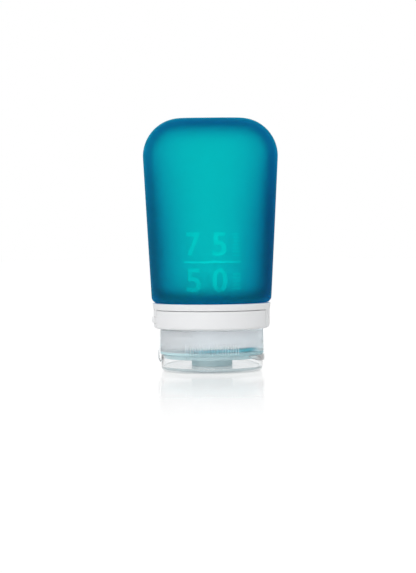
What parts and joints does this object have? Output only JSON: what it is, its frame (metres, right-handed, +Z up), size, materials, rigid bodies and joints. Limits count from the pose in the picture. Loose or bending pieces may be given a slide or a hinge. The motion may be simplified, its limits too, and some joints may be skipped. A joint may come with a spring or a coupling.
{
  "type": "squeezable travel tube",
  "caption": "Soft translucent squeeze bottle standing on its closed flip cap, with a threaded collar, a swing-out hanging strap and a slit valve in the spout.",
  "frame": {"origin": "middle of the lid's flat face, on which the tube stands", "axes": "+Z up through the neck to the closed end, -Y at the front, +X at the lid's thumb lip"},
  "size_m": [0.0518, 0.0464, 0.097],
  "materials": {
    "teal_silicone": "matte translucent silicone",
    "white_plastic": "satin white moulding",
    "frosted_plastic": "frosted translucent moulding",
    "clear_plastic": "polished clear moulding",
    "pin_steel": "drawn pin"
  },
  "bodies": {
    "tube": {"squeeze_body": "teal_silicone", "neck_ring": "white_plastic", "collar_ring": "white_plastic", "strap_hinge_pin": "pin_steel"},
    "strap": {"loop_strap": "white_plastic"},
    "cap_carrier": {"valve_retainer": "white_plastic"},
    "cap": {"screw_cap": "frosted_plastic", "slit_valve": "teal_silicone"},
    "lid": {"flip_lid": "clear_plastic"}
  },
  "joints": [
    {"name": "strap_swing", "type": "hinge", "parent": "tube", "child": "strap", "pos_m": [-0.0209, 0, 0.0197], "axis": [0, 0, -1], "range_deg": [0, 120]},
    {"name": "cap_travel", "type": "slide", "parent": "tube", "child": "cap_carrier", "axis": [0, 0, -1], "range_m": [0, 0.0051]},
    {"name": "cap_turn", "type": "hinge", "parent": "cap_carrier", "child": "cap", "pos_m": [0, 0, 0.01], "axis": [0, 0, -1], "range_deg": [0, 450]},
    {"name": "lid_flip", "type": "hinge", "parent": "cap", "child": "lid", "pos_m": [-0.0206, 0, 0.00655], "axis": [0, 1, 0], "range_deg": [0, 170]}
  ],
  "couplings": [
    {"joint": "cap_travel", "follows": "cap_turn", "m_per_rad": 0.00063662}
  ]
}
